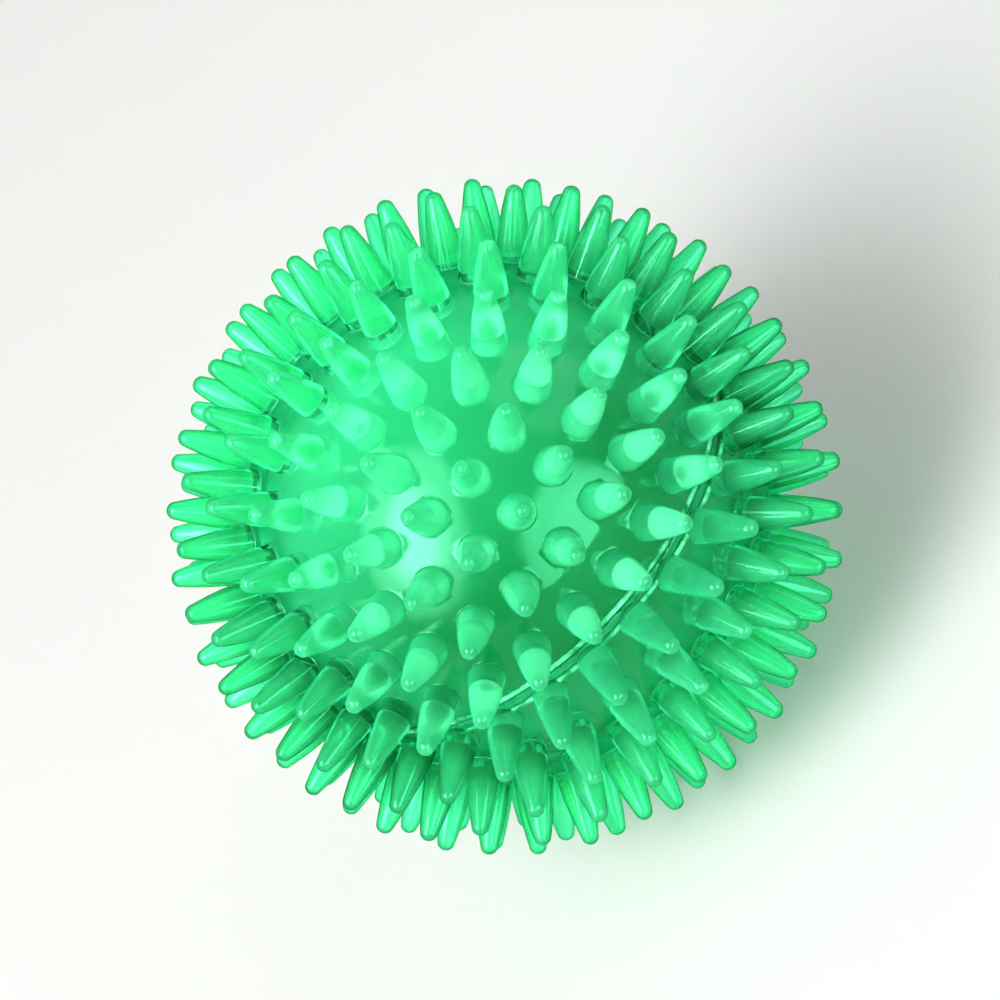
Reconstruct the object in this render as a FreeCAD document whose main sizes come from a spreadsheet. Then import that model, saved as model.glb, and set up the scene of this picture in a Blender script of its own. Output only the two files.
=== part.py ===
"""Spiked massage ball: two hollow half shells with moulded-in spikes, a weld bead and a filling valve.

The ball's centre is the origin and +Z is its pole. The two halves meet in the XY plane.
Spikes stand square to the ball in rings of equal latitude, evenly spaced around Z.
Each half shell, the bead in the seam between them, the valve socket and its plug is a body.
"""

import FreeCAD
import Part
import Sketcher

import math
import os

from FreeCAD import Vector

# Lengths are in millimetres and angles in degrees.
DRIVING_SIZES = {
    # The ball, over the spikes' tips and without them.
    "ball_radius": 37.5,
    "body_radius": 29.25,
    "wall_thickness": 2.5,
    # One spike: a round tip, a slightly bulging flank and a small hollow fillet at its foot.
    "spike_base_radius": 2.0,
    "spike_tip_radius": 1.0,
    "spike_flank_radius": 42.0,
    "spike_fillet_radius": 0.35,
    "spike_foot_sink": 0.12,
    "spike_root_depth": 1.2,
    # The rings of spikes, as angles seen from the centre.
    "ring_pitch": 11.64,
    "spike_spacing": 11.92,
    "first_lower_latitude": -3.5,
    # The seam: a round lip on each rim, and a notch between the lips that the bead fills.
    "lip_radius": 0.28,
    "lip_height": 0.95,
    "notch_depth": 1.3,
    "notch_root_width": 0.15,
    "notch_mouth_width": 0.62,
    "notch_clearance": 0.35,
    "bead_crown": 0.1,
    # The valve at the lower pole: a flanged socket, glued in, and the plug that closes it.
    "flange_radius": 5.5,
    "flange_thickness": 1.0,
    "flange_face": 28.9,
    "neck_radius": 3.5,
    "neck_end": 20.5,
    "air_bore_radius": 1.6,
    "plug_seat_radius": 3.0,
    "plug_seat_depth": 0.8,
    "plug_clearance": 0.05,
    "plug_end": 19.0,
    "plug_nose_length": 1.2,
    "nail_notch_radius": 0.8,
}

# Where each ring's first spike stands, in degrees round from the front, from the pole outwards.
UPPER_RING_STARTS = [0.0, 0.0, 9.5, 1.5, -2.0, -0.5, 0.5, 4.5]
LOWER_RING_STARTS = [0.0, -1.5, 6.5, 0.0, 9.0, 0.0, 20.0]
FRONT_AZIMUTH = -90.0
FULL_TURN = 360.0

ABOVE, BELOW = 1, -1
XY, XZ, Z_AXIS = "XY_Plane", "XZ_Plane", "Z_Axis"
START, END, CENTRE = 1, 2, 3
H_AXIS, V_AXIS, ORIGIN = -1, -2, -1
LEAST_SIZE = 1e-9

document = FreeCAD.newDocument("massage_ball")
sheet = document.addObject("Spreadsheet::Sheet", "Sizes")


def ring_start_name(side, index):
    return f"upper_start_{index}" if side == ABOVE else f"lower_start_{index}"


def sheet_cells():
    """Every driving number by its alias."""
    cells = dict(DRIVING_SIZES)
    for side, starts in ((ABOVE, UPPER_RING_STARTS), (BELOW, LOWER_RING_STARTS)):
        for index, start in enumerate(starts):
            cells[ring_start_name(side, index)] = start
    return cells


def fill_sheet():
    """Writes each driving number into its own cell, with its name beside it and as its alias."""
    for row, (name, value) in enumerate(sheet_cells().items(), start=1):
        sheet.set(f"A{row}", name)
        sheet.set(f"B{row}", str(value))
        sheet.setAlias(f"B{row}", name)
    document.recompute()


def sized(expression):
    """An expression with each {alias} written as a reference to the sheet."""
    return expression.format(**{name: f"Sizes.{name}" for name in sheet_cells()})


def value_of(expression):
    """What an expression over the sheet comes to now."""
    return float(sheet.evalExpression(sized(expression)))


def new_body(label):
    body = document.addObject("PartDesign::Body", label)
    body.Label = label
    return body


def origin_feature(body, role):
    """One of the body's own origin planes or axes."""
    return next(f for f in body.Origin.OriginFeatures if f.Role == role)


def new_sketch(body, name, plane=XZ):
    sketch = body.newObject("Sketcher::SketchObject", name)
    sketch.AttachmentSupport = (origin_feature(body, plane), [""])
    sketch.MapMode = "FlatFace"
    return sketch


def bind(sketch, kind, *where, to):
    """Adds a dimension that follows an expression over the sheet."""
    index = sketch.addConstraint(Sketcher.Constraint(kind, *where, value_of(to)))
    sketch.setExpression(f"Constraints[{index}]", sized(to))


def hold(sketch, kind, *where):
    """Adds a constraint that has no size."""
    sketch.addConstraint(Sketcher.Constraint(kind, *where))


def place_point(sketch, curve, end, across, along):
    """Holds one point of a curve at a place bound to the sheet, or on an axis where that is nil."""
    for kind, axis, expression in (("DistanceX", V_AXIS, across), ("DistanceY", H_AXIS, along)):
        if abs(value_of(expression)) < LEAST_SIZE:
            hold(sketch, "PointOnObject", curve, end, axis)
        else:
            bind(sketch, kind, ORIGIN, START, curve, end, to=expression)


def draw_line(sketch, start, end):
    return sketch.addGeometry(Part.LineSegment(Vector(*start, 0), Vector(*end, 0)), False)


def draw_circle(sketch, centre, radius):
    return sketch.addGeometry(Part.Circle(Vector(*centre, 0), Vector(0, 0, 1), radius), False)


def draw_arc(sketch, centre, radius, start_angle, end_angle):
    """An arc, counter-clockwise from one angle to another."""
    circle = Part.Circle(Vector(*centre, 0), Vector(0, 0, 1), radius)
    curve = Part.ArcOfCircle(circle, math.radians(start_angle), math.radians(end_angle))
    return sketch.addGeometry(curve, False)


def draw_outline(sketch, corners):
    """A closed outline of straight lines; each corner is two expressions over the sheet."""
    places = [(value_of(across), value_of(along)) for across, along in corners]
    lines = [
        draw_line(sketch, place, following)
        for place, following in zip(places, places[1:] + places[:1])
    ]
    for line, following in zip(lines, lines[1:] + lines[:1]):
        hold(sketch, "Coincident", line, END, following, START)
    for line, corner in zip(lines, corners):
        place_point(sketch, line, START, *corner)


def revolve(body, kind, sketch):
    """A full turn of the sketch about its own upright axis: a Revolution adds and a Groove cuts."""
    feature = body.newObject(f"PartDesign::{kind}", f"{sketch.Label}_turned")
    feature.Profile = sketch
    feature.ReferenceAxis = (sketch, ["V_Axis"])
    feature.Angle = FULL_TURN
    feature.Refine = False
    body.Tip = feature
    return feature


def add_hemisphere(body, side):
    """One hollow half of the ball, with its rim in the XY plane."""
    sketch = new_sketch(body, f"{body.Label}_wall")
    outer = value_of("{body_radius}")
    inner = value_of("{body_radius} - {wall_thickness}")
    angles = (0, 90) if side == ABOVE else (270, 360)
    outside = draw_arc(sketch, (0, 0), outer, *angles)
    inside = draw_arc(sketch, (0, 0), inner, *angles)
    rim = draw_line(sketch, (outer, 0), (inner, 0))
    pole = draw_line(sketch, (0, side * outer), (0, side * inner))
    at_rim, at_pole = (START, END) if side == ABOVE else (END, START)
    for curve in (outside, inside):
        hold(sketch, "Coincident", curve, CENTRE, ORIGIN, START)
        hold(sketch, "PointOnObject", curve, at_rim, H_AXIS)
        hold(sketch, "PointOnObject", curve, at_pole, V_AXIS)
    for line, arc_end in ((rim, at_rim), (pole, at_pole)):
        hold(sketch, "Coincident", line, START, outside, arc_end)
        hold(sketch, "Coincident", line, END, inside, arc_end)
    bind(sketch, "Radius", outside, to="{body_radius}")
    bind(sketch, "Radius", inside, to="{body_radius} - {wall_thickness}")
    revolve(body, "Revolution", sketch)


def add_rim_lip(body, side):
    """The raised round lip that runs beside the seam."""
    sketch = new_sketch(body, f"{body.Label}_lip")
    across = "sqrt({body_radius} ^ 2 - {lip_height} ^ 2)"
    along = f"{side} * {{lip_height}}"
    lip = draw_circle(sketch, (value_of(across), value_of(along)), value_of("{lip_radius}"))
    place_point(sketch, lip, CENTRE, across, along)
    bind(sketch, "Radius", lip, to="{lip_radius}")
    revolve(body, "Revolution", sketch)


def draw_spike(sketch):
    """Half a spike, from its root in the wall to its tip, beside the sketch's upright axis."""
    tip = value_of("{spike_tip_radius}")
    base = value_of("{spike_base_radius}")
    flank = value_of("{spike_flank_radius}")
    fillet = value_of("{spike_fillet_radius}")
    foot = value_of("{body_radius} - {spike_foot_sink}")
    root = value_of("{body_radius} - {spike_root_depth}")
    top = value_of("{ball_radius}")
    # The flank's arc leans and turns a few degrees between the fillet and the round tip.
    rise = top - tip - foot - fillet
    lean = math.degrees(math.atan2(base - tip, rise))
    half_turn = math.degrees(math.asin(math.hypot(base - tip, rise) / 2 / flank))
    flank_start = math.radians(lean - half_turn)
    flank_centre = (base - flank * math.cos(flank_start), foot + fillet - flank * math.sin(flank_start))

    cap = draw_arc(sketch, (0, top - tip), tip, lean + half_turn, 90)
    side = draw_arc(sketch, flank_centre, flank, lean - half_turn, lean + half_turn)
    flare = draw_arc(sketch, (base + fillet, foot + fillet), fillet, 180, 270)
    skirt = draw_line(sketch, (base + fillet, foot), (base + fillet, root))
    floor = draw_line(sketch, (base + fillet, root), (0, root))
    axis = draw_line(sketch, (0, root), (0, top))

    hold(sketch, "Tangent", cap, START, side, END)
    hold(sketch, "Tangent", side, START, flare, START)
    hold(sketch, "Coincident", flare, END, skirt, START)
    hold(sketch, "Coincident", skirt, END, floor, START)
    hold(sketch, "Coincident", floor, END, axis, START)
    hold(sketch, "Coincident", axis, END, cap, END)
    for curve, end in ((cap, CENTRE), (cap, END), (axis, START)):
        hold(sketch, "PointOnObject", curve, end, V_AXIS)
    hold(sketch, "Vertical", flare, CENTRE, flare, END)
    hold(sketch, "Vertical", skirt)
    hold(sketch, "Horizontal", floor)
    bind(sketch, "Radius", cap, to="{spike_tip_radius}")
    bind(sketch, "Radius", side, to="{spike_flank_radius}")
    bind(sketch, "Radius", flare, to="{spike_fillet_radius}")
    bind(sketch, "DistanceX", ORIGIN, START, side, START, to="{spike_base_radius}")
    bind(sketch, "DistanceY", ORIGIN, START, cap, END, to="{ball_radius}")
    bind(sketch, "DistanceY", ORIGIN, START, flare, END, to="{body_radius} - {spike_foot_sink}")
    bind(sketch, "DistanceY", ORIGIN, START, floor, END, to="{body_radius} - {spike_root_depth}")


def add_spike_ring(body, side, index):
    """One ring of spikes: a turned spike, repeated round Z as often as its latitude has room for."""
    if side == ABOVE:
        latitude = f"90 - {index} * {{ring_pitch}}"
    else:
        latitude = f"{{first_lower_latitude}} - {index} * {{ring_pitch}}"
    turn = f"{FRONT_AZIMUTH} + {{{ring_start_name(side, index)}}} - 90"
    sketch = new_sketch(body, f"{body.Label}_spike_{index}", XY)
    placing = f"placement(vector(0; 0; 0); rotation({turn}; 0; {latitude}))"
    sketch.setExpression("AttachmentOffset", sized(placing))
    draw_spike(sketch)
    spike = revolve(body, "Revolution", sketch)
    count = f"round(360 * cos({latitude}) / {{spike_spacing}})"
    if value_of(count) < 2:
        return
    ring = body.newObject("PartDesign::PolarPattern", f"{body.Label}_ring_{index}")
    ring.Originals = [spike]
    ring.Axis = (origin_feature(body, Z_AXIS), [""])
    ring.Angle = FULL_TURN
    ring.Refine = False
    ring.setExpression("Occurrences", sized(count))
    body.Tip = ring


def cut_seam_notch(body, side):
    """Clears the far side of the seam and cuts this rim's slope of the notch that the bead fills."""
    beyond = f"{-side} * {{spike_base_radius}}"
    inward = "{body_radius} - {wall_thickness} - {notch_clearance}"
    outward = "{body_radius} + {notch_clearance}"
    sketch = new_sketch(body, f"{body.Label}_notch")
    draw_outline(
        sketch,
        [
            (inward, "0"),
            ("{body_radius} - {notch_depth}", "0"),
            ("{body_radius} - {notch_depth}", f"{side} * {{notch_root_width}}"),
            (outward, f"{side} * {{notch_mouth_width}}"),
            (outward, beyond),
            (inward, beyond),
        ],
    )
    revolve(body, "Groove", sketch)


def cut_valve_seat(body):
    """The stepped opening at the lower pole that the valve socket is glued into."""
    sketch = new_sketch(body, f"{body.Label}_valve_seat")
    inward = "{wall_thickness} - {body_radius} + {notch_clearance}"
    step = "{flange_thickness} - {flange_face}"
    outward = "-{ball_radius}"
    draw_outline(
        sketch,
        [
            ("0", inward),
            ("{neck_radius}", inward),
            ("{neck_radius}", step),
            ("{flange_radius}", step),
            ("{flange_radius}", outward),
            ("0", outward),
        ],
    )
    revolve(body, "Groove", sketch)


def half_shell(label, side, starts):
    """One moulded half of the ball with its spikes."""
    body = new_body(label)
    add_hemisphere(body, side)
    add_rim_lip(body, side)
    for index in range(len(starts)):
        add_spike_ring(body, side, index)
    cut_seam_notch(body, side)
    if side == BELOW:
        cut_valve_seat(body)
    return body


def weld_bead():
    """The ring of weld that fills the notch, with a slightly crowned outside."""
    body = new_body("weld_bead")
    sketch = new_sketch(body, "weld_bead_section")
    rise = "({notch_mouth_width} - {notch_root_width}) / ({notch_depth} + {notch_clearance})"
    half_width = f"({{notch_root_width}} + {{notch_depth}} * {rise})"
    bottom = value_of("{body_radius} - {notch_depth}")
    surface = value_of("{body_radius}")
    root, mouth = value_of("{notch_root_width}"), value_of(half_width)
    crown = value_of("{bead_crown}")
    crown_radius = (mouth**2 + crown**2) / 2 / crown
    half_angle = math.degrees(math.asin(mouth / crown_radius))
    floor = draw_line(sketch, (bottom, root), (bottom, -root))
    lower = draw_line(sketch, (bottom, -root), (surface, -mouth))
    centre = (surface + crown - crown_radius, 0)
    outside = draw_arc(sketch, centre, crown_radius, -half_angle, half_angle)
    upper = draw_line(sketch, (surface, mouth), (bottom, root))
    hold(sketch, "Coincident", floor, END, lower, START)
    hold(sketch, "Coincident", lower, END, outside, START)
    hold(sketch, "Coincident", outside, END, upper, START)
    hold(sketch, "Coincident", upper, END, floor, START)
    place_point(sketch, floor, START, "{body_radius} - {notch_depth}", "{notch_root_width}")
    place_point(sketch, floor, END, "{body_radius} - {notch_depth}", "-{notch_root_width}")
    place_point(sketch, upper, START, "{body_radius}", half_width)
    place_point(sketch, lower, END, "{body_radius}", f"-{half_width}")
    bind(
        sketch,
        "Radius",
        outside,
        to=f"({half_width} ^ 2 + {{bead_crown}} ^ 2) / 2 / {{bead_crown}}",
    )
    revolve(body, "Revolution", sketch)
    return body


def valve_socket():
    """A flanged sleeve with a through air bore, a round seat for the plug's head and a nail notch."""
    body = new_body("valve_socket")
    sketch = new_sketch(body, "valve_socket_section")
    face = "-{flange_face}"
    step = "{flange_thickness} - {flange_face}"
    seat = "{plug_seat_depth} - {flange_face}"
    draw_outline(
        sketch,
        [
            ("{air_bore_radius}", "-{neck_end}"),
            ("{neck_radius}", "-{neck_end}"),
            ("{neck_radius}", step),
            ("{flange_radius}", step),
            ("{flange_radius}", face),
            ("{plug_seat_radius}", face),
            ("{plug_seat_radius}", seat),
            ("{air_bore_radius}", seat),
        ],
    )
    revolve(body, "Revolution", sketch)
    notch = new_sketch(body, "nail_notch", XY)
    notch.setExpression("AttachmentOffset.Base.z", sized("-{flange_face}"))
    place = (value_of("{plug_seat_radius}"), 0)
    circle = draw_circle(notch, place, value_of("{nail_notch_radius}"))
    place_point(notch, circle, CENTRE, "{plug_seat_radius}", "0")
    bind(notch, "Radius", circle, to="{nail_notch_radius}")
    pocket = body.newObject("PartDesign::Pocket", "nail_notch_cut")
    pocket.Profile = notch
    pocket.Reversed = True
    pocket.setExpression("Length", sized("{plug_seat_depth}"))
    body.Tip = pocket
    return body


def valve_plug():
    """A round head that sits flush in the socket, on a stem that closes the air bore."""
    body = new_body("valve_plug")
    sketch = new_sketch(body, "valve_plug_section")
    stem = "{air_bore_radius} - {plug_clearance}"
    head = "{plug_seat_radius} - {plug_clearance}"
    face = "-{flange_face}"
    under_head = "{plug_seat_depth} - {plug_clearance} - {flange_face}"
    draw_outline(
        sketch,
        [
            ("0", face),
            (head, face),
            (head, under_head),
            (stem, under_head),
            (stem, "-{plug_end} - {plug_nose_length}"),
            ("{air_bore_radius} / 2", "-{plug_end}"),
            ("0", "-{plug_end}"),
        ],
    )
    revolve(body, "Revolution", sketch)
    return body


def check(bodies):
    """Stops the build if any object failed to compute or a body isn't one sound solid."""
    for item in document.Objects:
        if "Invalid" in item.State or "Error" in item.State:
            raise RuntimeError(f"{item.Label} did not compute: {item.State}")
    for body in bodies:
        shape = body.Shape
        if shape.isNull() or not shape.isValid() or len(shape.Solids) != 1:
            raise RuntimeError(f"{body.Label} is not one valid solid")
        print(f"{body.Label}: {shape.Volume:.1f} mm3, {len(shape.Faces)} faces")


def export(bodies):
    os.makedirs("parts", exist_ok=True)
    for body in bodies:
        body.Shape.exportStep(f"parts/{body.Label}.step")


fill_sheet()
sub_parts = [
    half_shell("upper_shell", ABOVE, UPPER_RING_STARTS),
    half_shell("lower_shell", BELOW, LOWER_RING_STARTS),
    weld_bead(),
    valve_socket(),
    valve_plug(),
]
document.recompute()
check(sub_parts)
export(sub_parts)
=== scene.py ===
"""The looks of a spiked massage ball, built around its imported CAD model.

Lengths are in metres. The ball's centre is the origin, +Z is its pole and the seam lies in the
XY plane. The two half shells and the weld between them are built here in mesh code, and stand for
their CAD nodes. The valve's socket and plug are the CAD nodes themselves.
"""

import math
import random

import bpy
import numpy as np
from mathutils import Matrix, Vector, noise


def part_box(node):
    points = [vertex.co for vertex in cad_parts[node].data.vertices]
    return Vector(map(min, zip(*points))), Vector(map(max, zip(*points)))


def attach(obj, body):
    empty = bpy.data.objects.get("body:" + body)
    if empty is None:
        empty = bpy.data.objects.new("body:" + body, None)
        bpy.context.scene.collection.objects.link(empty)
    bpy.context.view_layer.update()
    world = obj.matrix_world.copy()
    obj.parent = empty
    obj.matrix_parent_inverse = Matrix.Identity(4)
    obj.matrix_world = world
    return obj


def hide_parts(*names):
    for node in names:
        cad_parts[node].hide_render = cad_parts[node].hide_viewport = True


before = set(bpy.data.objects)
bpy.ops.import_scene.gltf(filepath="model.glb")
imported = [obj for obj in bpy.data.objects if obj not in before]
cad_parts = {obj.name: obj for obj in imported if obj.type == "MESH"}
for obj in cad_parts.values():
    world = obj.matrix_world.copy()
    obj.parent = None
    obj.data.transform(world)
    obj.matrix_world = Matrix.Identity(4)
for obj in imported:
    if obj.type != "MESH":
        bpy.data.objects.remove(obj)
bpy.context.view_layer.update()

MM = 0.001

# Sizes read from the frame.
BALL_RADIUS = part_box("upper_shell")[1].z
BEAD_CROWN = 0.1 * MM
BODY_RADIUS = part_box("weld_bead")[1].x - BEAD_CROWN
FLANGE_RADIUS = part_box("valve_socket")[1].x
FLANGE_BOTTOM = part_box("valve_socket")[0].z
FLOOR_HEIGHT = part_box("lower_shell")[0].z

# The wall and the seam, as in the CAD model.
WALL = 2.5 * MM
LIP_RADIUS = 0.28 * MM
LIP_HEIGHT = 0.95 * MM
LIP_HALF_TURN = 80
NOTCH_DEPTH = 1.3 * MM
NOTCH_ROOT = 0.15 * MM
NOTCH_MOUTH = 0.62 * MM
NOTCH_REACH = 0.35 * MM
NECK_RADIUS = 3.5 * MM
FLANGE_THICKNESS = 1.0 * MM

# The weld's ripples, each as (depth, length).
RIPPLES = ((0.06 * MM, 0.9 * MM), (0.04 * MM, 0.35 * MM))

# One spike.
SPIKE_BASE = 2.0 * MM
SPIKE_TIP = 1.0 * MM
SPIKE_FLANK = 42.0 * MM
SPIKE_FLARE = 0.2 * MM
SPIKE_SINK = 0.1 * MM
SPIKE_ROOT = 1.2 * MM
SPIKE_SIDES = 24

# How much one moulded spike differs from the next.
SPIKE_LEAN = math.radians(0.8)
SPIKE_SHORTEST = 0.992
SPIKE_BULGE = 0.03

# The gap that is kept between neighbouring pieces, so that their faces never coincide.
AIR = 0.02 * MM

# How finely round things are drawn.
TURN_STEPS = 240
OUTSIDE_STEPS = 88
INSIDE_STEPS = 60
LIP_STEPS = 8
FLANK_STEPS = 7
TIP_STEPS = 5
FLARE_STEPS = 4
SHELL_CREASE = 40
WELD_CREASE = 60

# How uneven the moulded walls are, and the belt beside the seam that stays true.
SWELL_LENGTH = 7 * MM
SWELL_OUTSIDE = 0.03 * MM
SWELL_INSIDE = 0.18 * MM
TRUE_BELT = 2 * MM

# The camera, as fitted to the photo.
CAMERA_AZIMUTH = math.radians(-3.3)
CAMERA_ELEVATION = math.radians(33.0)
CAMERA_ROLL = math.radians(-46.6)
CAMERA_DISTANCE = 14 * BALL_RADIUS
SENSOR_WIDTH = 36.0
BALL_SHARE_OF_FRAME = 0.34
CAMERA_SHIFT = (-0.0054, 0.0168)

LAMP_DISTANCE = 1.5


def arc(centre, radius, start, end, steps):
    """Points on a circle from one angle to another, both in degrees, both ends included."""
    angles = np.radians(np.linspace(start, end, steps + 1))
    return [(centre[0] + radius * math.cos(a), centre[1] + radius * math.sin(a)) for a in angles]


def new_object(name, vertices, faces):
    """A mesh object of these vertices and faces."""
    mesh = bpy.data.meshes.new(name)
    mesh.from_pydata([tuple(v) for v in vertices], [], faces)
    mesh.update()
    made = bpy.data.objects.new(name, mesh)
    bpy.context.scene.collection.objects.link(made)
    return made


def turned(profile, steps):
    """The vertices and faces of an outline of (radius, height) turned about Z.

    An outline whose ends lie on the axis closes in a point there; any other is a ring.
    """
    vertices = []
    rows = []
    for radius, height in profile:
        if radius < 1e-9:
            rows.append([len(vertices)] * steps)
            vertices.append((0.0, 0.0, height))
            continue
        rows.append(list(range(len(vertices), len(vertices) + steps)))
        for step in range(steps):
            angle = 2 * math.pi * step / steps
            vertices.append((radius * math.cos(angle), radius * math.sin(angle), height))
    ring = profile[0][0] > 1e-9
    pairs = list(zip(rows, rows[1:] + rows[:1])) if ring else list(zip(rows, rows[1:]))
    faces = []
    for low, high in pairs:
        for step in range(steps):
            following = (step + 1) % steps
            corners = (low[step], low[following], high[following], high[step])
            faces.append(tuple(dict.fromkeys(corners)))
    return np.array(vertices), faces


def facing_out(faces, outward):
    """The faces as they are, or all turned over."""
    return faces if outward else [tuple(reversed(face)) for face in faces]


def shell_outline(open_pole):
    """Half a hollow ball with its rim lip, as (radius, height) from the pole outside to the pole inside.

    The open pole has the stepped hole that the valve's socket sits in.
    """
    inner = BODY_RADIUS - WALL
    lip_centre = (math.sqrt(BODY_RADIUS**2 - LIP_HEIGHT**2), LIP_HEIGHT)
    lip_top = math.degrees(math.asin((LIP_HEIGHT + LIP_RADIUS) / BODY_RADIUS))
    below = -math.degrees(math.asin(NOTCH_REACH / BODY_RADIUS))
    first_outside = 90.0
    first_inside = 90.0
    if open_pole:
        first_outside = math.degrees(math.acos((FLANGE_RADIUS + AIR) / BODY_RADIUS))
        first_inside = math.degrees(math.acos((NECK_RADIUS + AIR) / inner))
    outside = arc((0, 0), BODY_RADIUS, first_outside, lip_top, OUTSIDE_STEPS)
    lip = arc(lip_centre, LIP_RADIUS, LIP_HALF_TURN, -LIP_HALF_TURN, LIP_STEPS)
    edge = arc((0, 0), BODY_RADIUS, 0.5 * below, below, 1)
    inside = arc((0, 0), inner, below, first_inside, INSIDE_STEPS)
    outline = outside + lip + edge + inside
    if open_pole:
        ledge = -FLANGE_BOTTOM - FLANGE_THICKNESS - AIR
        outline += [(NECK_RADIUS + AIR, ledge), (FLANGE_RADIUS + AIR, ledge)]
    else:
        outline[0] = (0.0, BODY_RADIUS)
        outline[-1] = (0.0, inner)
    return outline


def spike_outline():
    """Half a spike from the middle of its root to its tip.

    Each point is (distance from the spike's axis, distance from the ball's centre).
    """
    foot = BODY_RADIUS - SPIKE_SINK
    rise = BALL_RADIUS - SPIKE_TIP - foot - SPIKE_FLARE
    lean = math.degrees(math.atan2(SPIKE_BASE - SPIKE_TIP, rise))
    half_turn = math.degrees(math.asin(math.hypot(SPIKE_BASE - SPIKE_TIP, rise) / 2 / SPIKE_FLANK))
    start = math.radians(lean - half_turn)
    flank_centre = (
        SPIKE_BASE - SPIKE_FLANK * math.cos(start),
        foot + SPIKE_FLARE - SPIKE_FLANK * math.sin(start),
    )
    root = BODY_RADIUS - SPIKE_ROOT
    outline = [(0.0, root), (SPIKE_BASE + SPIKE_FLARE, root)]
    outline += arc((SPIKE_BASE + SPIKE_FLARE, foot + SPIKE_FLARE), SPIKE_FLARE, 270, 180, FLARE_STEPS)
    outline += arc(flank_centre, SPIKE_FLANK, lean - half_turn, lean + half_turn, FLANK_STEPS)[1:]
    outline += arc((0, BALL_RADIUS - SPIKE_TIP), SPIKE_TIP, lean + half_turn, 90, TIP_STEPS)[1:]
    outline[-1] = (0.0, BALL_RADIUS)
    return outline


def spike_directions(node):
    """The way each spike of a CAD shell points, found from its highest mesh points."""
    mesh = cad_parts[node].data
    points = np.empty(len(mesh.vertices) * 3, np.float32)
    mesh.vertices.foreach_get("co", points)
    points = points.reshape(-1, 3).astype(float)
    reach = np.linalg.norm(points, axis=1)
    tip_depth = 0.01 * MM
    same_spike = 0.999
    tips = points[reach > BALL_RADIUS - tip_depth] / BALL_RADIUS
    found = []
    for tip in tips:
        if all(np.dot(tip, other) < same_spike for other in found):
            found.append(tip)
    middles = [tips[tips @ one > same_spike].mean(axis=0) for one in found]
    directions = [tuple(middle / np.linalg.norm(middle)) for middle in middles]
    return sorted(directions, key=lambda way: (round(way[2], 4), way[0]))


def spikes(name, directions, seed):
    """All spikes of one shell as one mesh of closed forms, each a little different."""
    shape, faces = turned(spike_outline(), SPIKE_SIDES)
    full_length = BALL_RADIUS - BODY_RADIUS
    height = np.clip((shape[:, 2] - BODY_RADIUS) / full_length, 0, 1)
    draw = random.Random(seed)
    vertices = []
    all_faces = []
    for direction in directions:
        spin = draw.uniform(0, 2 * math.pi)
        length = draw.uniform(SPIKE_SHORTEST, 1.0)
        bend = draw.gauss(0, SPIKE_LEAN) * full_length
        bulge = 1 + draw.uniform(-SPIKE_BULGE, SPIKE_BULGE) * height
        form = shape.copy()
        form[:, :2] *= bulge[:, None]
        form[:, 0] += bend * height
        form[:, 2] -= (1 - length) * full_length * height
        turn = Vector(direction).to_track_quat("Z", "Y").to_matrix() @ Matrix.Rotation(spin, 3, "Z")
        start = len(vertices) * len(shape)
        vertices.append(form @ np.array(turn).T)
        all_faces += [tuple(corner + start for corner in face) for face in faces]
    return new_object(name, np.concatenate(vertices), all_faces)


def seam_cutter_outline():
    """The ring that clears the far side of the seam and slopes this side's half of the notch."""
    inner = BODY_RADIUS - WALL - NOTCH_REACH
    outer = BODY_RADIUS + NOTCH_REACH
    notch = BODY_RADIUS - NOTCH_DEPTH
    far_side = -2 * MM
    return [
        (inner, AIR),
        (notch, AIR),
        (notch, NOTCH_ROOT),
        (outer, NOTCH_MOUTH),
        (outer, far_side),
        (inner, far_side),
    ]


def notch_slope():
    """How fast one side of the notch opens towards the outside."""
    return (NOTCH_MOUTH - NOTCH_ROOT) / (NOTCH_DEPTH + NOTCH_REACH)


def flipped(vertices):
    """The vertices mirrored in the seam's plane."""
    return vertices * np.array([1.0, 1.0, -1.0])


def combine(target, other, operation):
    """Joins other to target or cuts it away, and drops other."""
    modifier = target.modifiers.new("combine", "BOOLEAN")
    modifier.operation = operation
    modifier.solver = "MANIFOLD"
    modifier.object = other
    graph = bpy.context.evaluated_depsgraph_get()
    result = bpy.data.meshes.new_from_object(target.evaluated_get(graph))
    target.modifiers.clear()
    target.data = result
    bpy.data.objects.remove(other)


def waviness(point, cell):
    """A smooth random number about nil that changes over one cell's length."""
    return noise.noise(Vector(point) / cell)


def uneven_wall(vertices):
    """Swells the wall a little, more inside than outside, and leaves the belt beside the seam true."""
    reach = np.linalg.norm(vertices, axis=1)
    for index, point in enumerate(vertices):
        if abs(point[2]) < TRUE_BELT:
            continue
        inside = reach[index] < BODY_RADIUS - 0.5 * WALL
        depth = SWELL_INSIDE if inside else SWELL_OUTSIDE
        lift = depth * waviness(point, SWELL_LENGTH)
        vertices[index] = point * (1 + lift / reach[index])


def shell(name, node, above, seed):
    """One half of the ball with its spikes."""
    vertices, faces = turned(shell_outline(open_pole=not above), TURN_STEPS)
    uneven_wall(vertices)
    cutter_vertices, cutter_faces = turned(seam_cutter_outline(), TURN_STEPS)
    if not above:
        vertices = flipped(vertices)
        cutter_vertices = flipped(cutter_vertices)
    body = new_object(name, vertices, facing_out(faces, not above))
    combine(body, spikes(name + "_spikes", spike_directions(node), seed), "UNION")
    cutter = new_object("cutter", cutter_vertices, facing_out(cutter_faces, above))
    combine(body, cutter, "DIFFERENCE")
    return body


def joint_height(reach):
    """How high above the seam's plane the joint between shell and weld lies, at a distance from the axis."""
    if reach < BODY_RADIUS - NOTCH_DEPTH - AIR:
        return AIR
    return NOTCH_ROOT + notch_slope() * (reach - BODY_RADIUS + NOTCH_DEPTH)


# The material slots of a half shell after its first one, which is the plain wall and the spikes.
JOINT_SLOT = 1
LIP_SLOT = 2


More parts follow.
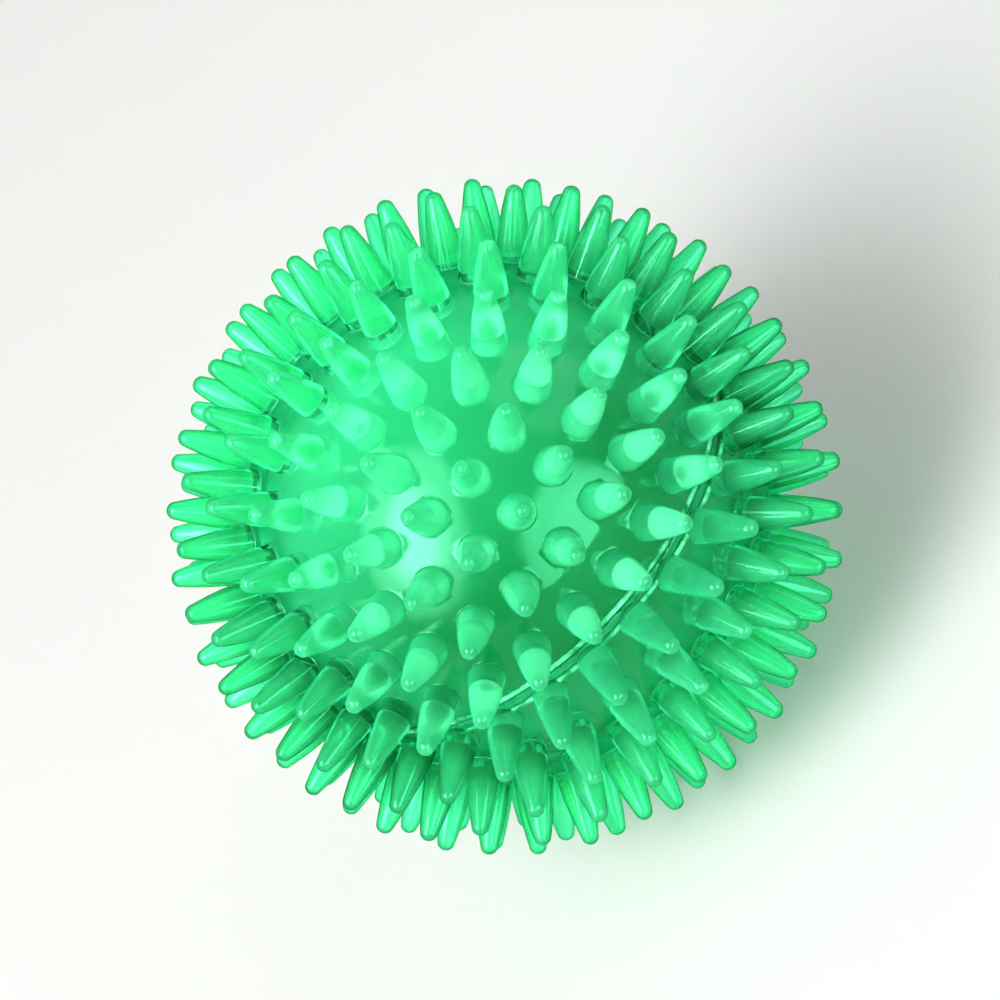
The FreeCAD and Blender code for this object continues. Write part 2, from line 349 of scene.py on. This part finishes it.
def mark_faces(made, slot, belongs):
    """Gives a material slot to the faces whose corners all belong.

    A corner's distance from Z and its height over the seam's plane say whether it belongs.
    """
    mesh = made.data
    marked = [belongs(vertex.co.xy.length, abs(vertex.co.z)) for vertex in mesh.vertices]
    for face in mesh.polygons:
        if all(marked[corner] for corner in face.vertices):
            face.material_index = slot


def mark_joint(made, outermost):
    """Marks the faces that are welded to another piece and lie inside the wall."""
    slack = 0.1 * AIR
    mark_faces(
        made, JOINT_SLOT, lambda reach, height: reach < outermost and height < joint_height(reach) + slack
    )


def mark_lip(made):
    """Marks the rim's raised lip."""
    middle = math.sqrt(BODY_RADIUS**2 - LIP_HEIGHT**2)
    outermost = 1.02 * LIP_RADIUS
    mark_faces(
        made, LIP_SLOT, lambda reach, height: math.hypot(reach - middle, height - LIP_HEIGHT) < outermost
    )


def weld_bead():
    """The weld in the seam's notch, with a crowned and rippled outside."""
    bottom = BODY_RADIUS - NOTCH_DEPTH + AIR
    mouth = NOTCH_ROOT + NOTCH_DEPTH * notch_slope() - AIR
    root = NOTCH_ROOT - AIR
    crown_radius = (mouth**2 + BEAD_CROWN**2) / 2 / BEAD_CROWN
    half_angle = math.degrees(math.asin(mouth / crown_radius))
    crown_centre = (BODY_RADIUS + BEAD_CROWN - crown_radius, 0)
    crown = arc(crown_centre, crown_radius, -half_angle, half_angle, LIP_STEPS)
    vertices, faces = turned([(bottom, root), (bottom, -root)] + crown, 4 * TURN_STEPS)
    reach = np.hypot(vertices[:, 0], vertices[:, 1])
    for index, point in enumerate(vertices):
        if reach[index] > BODY_RADIUS + 0.2 * BEAD_CROWN:
            ripple = sum(depth * waviness(point, length) for depth, length in RIPPLES)
            vertices[index, :2] *= 1 + ripple / reach[index]
    return new_object("seam_weld", vertices, faces)


def shade(made, crease):
    """Smooth shading, apart from edges that turn by more than the crease, in degrees."""
    made.data.polygons.foreach_set("use_smooth", [True] * len(made.data.polygons))
    made.data.set_sharp_from_angle(angle=math.radians(crease))


class Nodes:
    """A small helper that adds shader nodes and links them by name."""

    def __init__(self, name):
        self.material = bpy.data.materials.new(name)
        self.material.use_nodes = True
        self.tree = self.material.node_tree
        self.tree.nodes.clear()
        self.output = self.add("OutputMaterial")

    def add(self, kind, **settings):
        """A new node of a kind, with its settings."""
        node = self.tree.nodes.new("ShaderNode" + kind)
        for key, value in settings.items():
            setattr(node, key, value)
        return node

    def put(self, node, **inputs):
        """Sets a node's inputs, each to a value or to another node's output."""
        for key, value in inputs.items():
            socket = node.inputs[key.replace("_", " ")]
            if isinstance(value, bpy.types.NodeSocket):
                self.tree.links.new(value, socket)
            else:
                socket.default_value = value
        return node

    def link(self, source, target):
        self.tree.links.new(source, target)

    def map_range(self, value, low, high, to_low, to_high):
        """Carries a value from one range to another, and no further."""
        node = self.add("MapRange", clamp=True)
        self.link(value, node.inputs["Value"])
        for key, number in (("From Min", low), ("From Max", high), ("To Min", to_low), ("To Max", to_high)):
            node.inputs[key].default_value = number
        return node.outputs["Result"]

    def maths(self, operation, first, second):
        node = self.add("Math", operation=operation)
        for socket, value in zip(node.inputs, (first, second)):
            if isinstance(value, bpy.types.NodeSocket):
                self.link(value, socket)
            else:
                socket.default_value = value
        return node.outputs[0]

    def noise(self, cell, detail=3.0, roughness=0.5):
        """Noise from 0 to 1 whose features are about one cell long."""
        place = self.add("TexCoord").outputs["Object"]
        node = self.add("TexNoise")
        self.link(place, node.inputs["Vector"])
        self.put(node, Scale=1 / cell, Detail=detail, Roughness=roughness)
        return node.outputs["Fac"]

    def wander(self, cell, low, high, detail=3.0):
        """A number that wanders from low to high over about one cell."""
        return self.map_range(self.noise(cell, detail), 0.3, 0.7, low, high)

    def radius(self):
        """How far the point is from the ball's centre."""
        place = self.add("TexCoord").outputs["Object"]
        node = self.add("VectorMath", operation="LENGTH")
        self.link(place, node.inputs[0])
        return node.outputs["Value"]

    def radius_to_viewer(self):
        """1 where the line from the ball's centre runs at the viewer, 0 where it runs square to that."""
        place = self.add("TexCoord").outputs["Object"]
        outward = self.add("VectorMath", operation="NORMALIZE")
        self.link(place, outward.inputs[0])
        node = self.add("VectorMath", operation="DOT_PRODUCT")
        self.link(outward.outputs["Vector"], node.inputs[0])
        self.link(self.add("NewGeometry").outputs["Incoming"], node.inputs[1])
        return self.maths("ABSOLUTE", node.outputs["Value"], 0.0)

    def height(self):
        """How far the point is from the seam's plane."""
        place = self.add("TexCoord").outputs["Object"]
        split = self.add("SeparateXYZ")
        self.link(place, split.inputs[0])
        return self.maths("ABSOLUTE", split.outputs["Z"], 0.0)

    def mix_colour(self, share, first, second):
        """The first colour at a share of 0, the second at 1."""
        node = self.add("Mix", data_type="RGBA")
        if isinstance(share, bpy.types.NodeSocket):
            self.link(share, node.inputs["Factor"])
        else:
            node.inputs["Factor"].default_value = share
        for socket, value in ((node.inputs[6], first), (node.inputs[7], second)):
            if isinstance(value, bpy.types.NodeSocket):
                self.link(value, socket)
            else:
                socket.default_value = (*value, 1.0)
        return node.outputs[2]

    def mix_shader(self, share, first, second):
        """The first surface at a share of 0, the second at 1."""
        node = self.add("MixShader")
        self.link(share, node.inputs[0])
        self.link(first.outputs[0], node.inputs[1])
        self.link(second.outputs[0], node.inputs[2])
        return node

    def bump(self, height, distance, strength, normal=None):
        """A normal tilted by a height, on top of another bump if there is one."""
        node = self.add("Bump")
        node.inputs["Distance"].default_value = distance
        node.inputs["Strength"].default_value = strength
        self.link(height, node.inputs["Height"])
        if normal is not None:
            self.link(normal, node.inputs["Normal"])
        return node.outputs["Normal"]


# Linear colours: the wall near the seam, whose deeper green there is painted shade, and near the poles, the
# spikes, and what the camera sees on their flanks and along outlines, where the darker outline is painted
# shade. Sheen is the gloss's tint, shade what a wall lets through.
DEEP_GREEN = (0.0, 0.29, 0.07)
WALL_GREEN = (0.05, 0.82, 0.38)
LIGHT_GREEN = (0.09, 0.86, 0.43)
FLANK_GREEN = (0.04, 0.70, 0.31)
OUTLINE_GREEN = (0.05, 0.68, 0.40)
# Pale green of the painted glints on the lips.
LIP_GLINT_GREEN = (0.16, 0.90, 0.50)
WELD_GREEN = (0.0, 0.32, 0.09)
VALVE_GREEN = (0.03, 0.62, 0.28)
PLUG_GREEN = (0.10, 0.78, 0.42)
SHEEN_TINT = (0.20, 0.70, 0.48)
SHADE_TINT = (0.89, 0.79, 0.85)

# How see-through each plastic is, from 0 to 1.
SHELL_CLEARNESS = 0.88
SOCKET_CLEARNESS = 0.15
PLUG_CLEARNESS = 0.15
PLASTIC_IOR = 1.5


def outline_share(kit, aside, camera_ray):
    """How much of the outline's painted shade the camera sees: more on slanting faces and towards the rim.
    """
    turned_away = kit.add("LayerWeight").outputs["Facing"]
    slanting = kit.map_range(turned_away, 0.15, 0.65, 0.0, 1.0)
    most = kit.map_range(aside, 0.0, 1.0, 0.22, 0.92)
    return kit.maths("MULTIPLY", kit.maths("MULTIPLY", slanting, most), camera_ray)


def plastic_surface(kit, colour, rough, clear, normal):
    """Tinted soft PVC with painted shade that darkens it towards its outline, and that lets the lamps' light
    through.
    """
    bulk = kit.add("BsdfPrincipled")
    kit.put(bulk, Base_Color=colour, Roughness=rough, IOR=PLASTIC_IOR, Normal=normal)
    kit.put(bulk, Transmission_Weight=clear, Specular_IOR_Level=0.8, Specular_Tint=(*SHEEN_TINT, 1.0))
    # Painted shade: the outline look darkens the plastic towards its rim, for the camera only.
    outline = kit.add("BsdfRefraction")
    kit.put(outline, Color=(*OUTLINE_GREEN, 1.0), Roughness=rough, IOR=PLASTIC_IOR, Normal=normal)
    milky_flank = kit.add("BsdfDiffuse")
    kit.put(milky_flank, Color=(*FLANK_GREEN, 1.0), Normal=normal)
    clear_to_lamps = kit.add("BsdfTransparent")
    kit.put(clear_to_lamps, Color=(*SHADE_TINT, 1.0))
    # 0 where the ball faces the viewer, 1 at its rim.
    aside = kit.map_range(kit.radius_to_viewer(), 0.5, 0.9, 1.0, 0.0)
    edge = kit.mix_shader(aside, milky_flank, outline)
    path = kit.add("LightPath")
    seen = kit.mix_shader(outline_share(kit, aside, path.outputs["Is Camera Ray"]), bulk, edge)
    lit = kit.mix_shader(path.outputs["Is Shadow Ray"], seen, clear_to_lamps)
    kit.link(lit.outputs[0], kit.output.inputs["Surface"])


def shell_plastic():
    """Clear green soft PVC: glossy, deep green near the seam as painted shade, lighter and satin in the
    spikes.
    """
    kit = Nodes("shell_plastic")
    radius = kit.radius()
    up_the_spike = kit.map_range(radius, BODY_RADIUS + 0.6 * MM, BODY_RADIUS + 4.5 * MM, 0.0, 1.0)
    # Painted shade: the wall's colour turns deep green towards the seam's plane.
    seam_painted_shade = kit.map_range(kit.height(), 0.35 * BODY_RADIUS, 0.95 * BODY_RADIUS, 1.0, 0.0)
    colour = kit.mix_colour(seam_painted_shade, WALL_GREEN, DEEP_GREEN)
    colour = kit.mix_colour(up_the_spike, colour, LIGHT_GREEN)
    mottled = kit.mix_colour(0.15, colour, LIGHT_GREEN)
    colour = kit.mix_colour(kit.noise(9 * MM), colour, mottled)
    rough = kit.wander(0.5 * MM, 0.03, 0.06, detail=2.0)
    tip_wear = kit.map_range(radius, BALL_RADIUS - 0.8 * MM, BALL_RADIUS, 0.0, 0.06)
    satin_spike = kit.map_range(radius, BODY_RADIUS + 0.3 * MM, BODY_RADIUS + 2.5 * MM, 0.0, 0.11)
    dull_inside = kit.map_range(radius, BODY_RADIUS - WALL, BODY_RADIUS - 0.4 * WALL, 0.5, 0.0)
    for more in (tip_wear, satin_spike, dull_inside):
        rough = kit.maths("ADD", rough, more)
    swell = kit.bump(kit.noise(3 * MM, detail=1.0), 0.3 * MM, 0.10)
    normal = kit.bump(kit.noise(0.25 * MM), 0.02 * MM, 0.15, swell)
    plastic_surface(kit, colour, rough, SHELL_CLEARNESS, normal)
    return kit.material


def lip_plastic():
    """The squeezed lips beside the weld: patched with pale green painted glints, uneven and glossy."""
    kit = Nodes("lip_plastic")
    # Painted glints: patches where the lips turn pale green.
    painted_glint = kit.map_range(kit.noise(1.5 * MM), 0.40, 0.62, 0.0, 1.0)
    colour = kit.mix_colour(painted_glint, DEEP_GREEN, LIP_GLINT_GREEN)
    rough = kit.wander(0.4 * MM, 0.03, 0.15)
    clear = kit.map_range(kit.noise(1.2 * MM), 0.35, 0.65, 0.60, 0.20)
    uneven = kit.bump(kit.noise(0.8 * MM, detail=2.0), 0.12 * MM, 0.35)
    plastic_surface(kit, colour, rough, clear, uneven)
    return kit.material


def weld_plastic():
    """The melted and frozen seam: deep green and glossy, with ripples from the welding tool."""
    kit = Nodes("weld_plastic")
    colour = kit.mix_colour(kit.noise(2 * MM), WELD_GREEN, LIGHT_GREEN)
    colour = kit.mix_colour(0.85, colour, WELD_GREEN)
    rough = kit.wander(0.3 * MM, 0.03, 0.12)
    clear = kit.wander(1 * MM, 0.35, 0.65)
    ripples = kit.bump(kit.noise(0.6 * MM, detail=2.0), 0.15 * MM, 0.35)
    plastic_surface(kit, colour, rough, clear, ripples)
    return kit.material


def moulded_plastic(name, green, clearness):
    """The denser PVC of the valve's pieces: milky, with fine turning rings from their moulds."""
    kit = Nodes(name)
    place = kit.add("TexCoord").outputs["Object"]
    rings = kit.add("TexWave", wave_type="RINGS", rings_direction="Z")
    kit.link(place, rings.inputs["Vector"])
    kit.put(rings, Scale=1 / (3 * MM), Distortion=0.4, Detail=2.0, Detail_Scale=1.5)
    colour = kit.mix_colour(kit.noise(3 * MM), green, LIGHT_GREEN)
    colour = kit.mix_colour(0.75, colour, green)
    rough = kit.wander(0.8 * MM, 0.18, 0.25)
    ringed = kit.bump(rings.outputs["Fac"], 0.03 * MM, 0.25)
    normal = kit.bump(kit.noise(0.4 * MM), 0.02 * MM, 0.12, ringed)
    plastic_surface(kit, colour, rough, clearness, normal)
    return kit.material


def welded_joint():
    """The faces where two pieces are welded: clear, because the plastic runs on through them."""
    kit = Nodes("welded_joint")
    kit.link(kit.add("BsdfTransparent").outputs[0], kit.output.inputs["Surface"])
    return kit.material


def floor_material():
    """Plain matt paper."""
    kit = Nodes("floor_paper")
    surface = kit.add("BsdfPrincipled")
    tone = kit.mix_colour(kit.noise(60 * MM), (0.40, 0.41, 0.40), (0.42, 0.42, 0.41))
    kit.put(surface, Base_Color=tone, Roughness=0.8)
    kit.link(surface.outputs[0], kit.output.inputs["Surface"])
    return kit.material


def finish_piece(made, node, materials, crease):
    """Shades a piece, gives it its materials and puts it on the ball in the place of its CAD node."""
    shade(made, crease)
    made.data.materials.clear()
    for material in materials:
        made.data.materials.append(material)
    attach(made, "ball")
    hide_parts(node)


def camera_axes():
    """The camera's right, up and back directions."""
    back = Vector(
        (
            math.sin(CAMERA_AZIMUTH) * math.cos(CAMERA_ELEVATION),
            -math.cos(CAMERA_AZIMUTH) * math.cos(CAMERA_ELEVATION),
            math.sin(CAMERA_ELEVATION),
        )
    )
    level = Vector((math.cos(CAMERA_AZIMUTH), math.sin(CAMERA_AZIMUTH), 0))
    rise = back.cross(level)
    right = level * math.cos(CAMERA_ROLL) + rise * math.sin(CAMERA_ROLL)
    up = rise * math.cos(CAMERA_ROLL) - level * math.sin(CAMERA_ROLL)
    return right, up, back


def axes_matrix(right, up, back, place):
    """The matrix that puts an object's X, Y and Z along these three and its origin at the place."""
    matrix = Matrix((right, up, back)).transposed().to_4x4()
    matrix.translation = place
    return matrix


def add_camera():
    """The camera at the photo's angle, as far off and as long as makes the ball as large as there."""
    right, up, back = camera_axes()
    data = bpy.data.cameras.new("camera")
    data.sensor_width = SENSOR_WIDTH
    data.lens = SENSOR_WIDTH * BALL_SHARE_OF_FRAME * math.sqrt((CAMERA_DISTANCE / BALL_RADIUS) ** 2 - 1)
    data.shift_x, data.shift_y = CAMERA_SHIFT
    camera = bpy.data.objects.new("camera", data)
    camera.matrix_world = axes_matrix(right, up, back, back * CAMERA_DISTANCE)
    bpy.context.scene.collection.objects.link(camera)
    bpy.context.scene.camera = camera


def shape_glow(light, hot):
    """Gives a softbox soft edges, and a middle that is hotter by this much."""
    soft_edge = (0.34, 0.5, 1.0)
    hot_middle = (0.10, 0.31, hot)
    light.use_nodes = True
    tree = light.node_tree
    place = tree.nodes.new("ShaderNodeNewGeometry")
    middle = tree.nodes.new("ShaderNodeVectorMath")
    middle.operation = "DISTANCE"
    middle.inputs[1].default_value = (0.5, 0.5, 0.0)
    tree.links.new(place.outputs["Parametric"], middle.inputs[0])
    total = tree.nodes.new("ShaderNodeMath")
    for socket, (near, far, bright) in zip(total.inputs, (soft_edge, hot_middle)):
        fade = tree.nodes.new("ShaderNodeMapRange")
        fade.interpolation_type = "SMOOTHSTEP"
        for key, number in (("From Min", near), ("From Max", far), ("To Min", bright), ("To Max", 0.0)):
            fade.inputs[key].default_value = number
        tree.links.new(middle.outputs["Value"], fade.inputs["Value"])
        tree.links.new(fade.outputs["Result"], socket)
    tree.links.new(total.outputs[0], tree.nodes["Emission"].inputs["Strength"])


def add_softbox(name, off_axis, around, size, power, tint, hot=0.0, mirrored_only=False):
    """A softbox that faces the ball, off_axis degrees from the camera's axis and around from its right.

    Its size is in metres and its power in watts. One that is mirrored only is seen in the plastic's
    gloss and doesn't light anything.
    """
    right, up, back = camera_axes()
    side = right * math.cos(math.radians(around)) + up * math.sin(math.radians(around))
    out = back * math.cos(math.radians(off_axis)) + side * math.sin(math.radians(off_axis))
    across = up.cross(out).normalized()
    data = bpy.data.lights.new(name, "AREA")
    data.shape = "RECTANGLE"
    data.size, data.size_y = size
    data.energy = power
    data.color = tint
    shape_glow(data, hot)
    lamp = bpy.data.objects.new(name, data)
    lamp.matrix_world = axes_matrix(across, out.cross(across), out, out * LAMP_DISTANCE)
    lamp.visible_diffuse = not mirrored_only
    lamp.visible_transmission = not mirrored_only
    bpy.context.scene.collection.objects.link(lamp)


def add_floor():
    """The pale ground that the ball rests on."""
    half = 4.0
    corners = [(-half, -half), (half, -half), (half, half), (-half, half)]
    floor = new_object("floor", [(x, y, FLOOR_HEIGHT) for x, y in corners], [(0, 1, 2, 3)])
    floor.data.materials.append(floor_material())


def add_lamps():
    """The key light at the left, fills at the right and above, and what mirrors in the plastic."""
    add_softbox("key_softbox", 40, 193, (1.6, 2.4), 38, (1.0, 0.97, 0.98), hot=6.8)
    add_softbox("fill_softbox", 40, 352, (1.3, 1.3), 20, (0.7, 1.0, 0.85))
    add_softbox("window", 35, 348, (1.8, 1.9), 135, (0.5, 1.0, 0.75), mirrored_only=True)
    add_softbox("key_mirror", 41, 190, (1.5, 2.4), 60, (0.8, 1.0, 0.85), mirrored_only=True)
    add_softbox("side_softbox", 60, 75, (1.4, 1.4), 14, (1.0, 0.98, 1.0))


def add_surroundings():
    """Even light from all round, plain colours, and enough bounces to see through the ball."""
    world = bpy.data.worlds.new("studio")
    world.use_nodes = True
    background = world.node_tree.nodes["Background"]
    background.inputs["Color"].default_value = (0.95, 1.0, 0.97, 1.0)
    background.inputs["Strength"].default_value = 0.62
    bpy.context.scene.world = world
    bpy.context.scene.view_settings.view_transform = "Standard"
    bpy.context.scene.cycles.max_bounces = 20
    bpy.context.scene.cycles.transmission_bounces = 20


def add_shells(joint):
    """The two halves of the ball."""
    materials = [shell_plastic(), joint, lip_plastic()]
    halves = (("upper_half", "upper_shell", True, 11), ("lower_half", "lower_shell", False, 12))
    for name, node, above, seed in halves:
        half = shell(name, node, above, seed)
        finish_piece(half, node, materials, SHELL_CREASE)
        mark_joint(half, BODY_RADIUS + AIR)
        mark_lip(half)


def add_weld(joint):
    """The weld between the halves."""
    bead = weld_bead()
    finish_piece(bead, "weld_bead", [weld_plastic(), joint], WELD_CREASE)
    mark_joint(bead, BODY_RADIUS + 0.5 * AIR)


def finish_valve():
    """Gives the valve's two CAD nodes their plastic."""
    pieces = (("valve_socket", VALVE_GREEN, SOCKET_CLEARNESS), ("valve_plug", PLUG_GREEN, PLUG_CLEARNESS))
    for node, green, clearness in pieces:
        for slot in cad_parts[node].material_slots:
            slot.material = moulded_plastic(node + "_plastic", green, clearness)


joint = welded_joint()
add_shells(joint)
add_weld(joint)
finish_valve()
add_floor()
add_lamps()
add_surroundings()
add_camera()
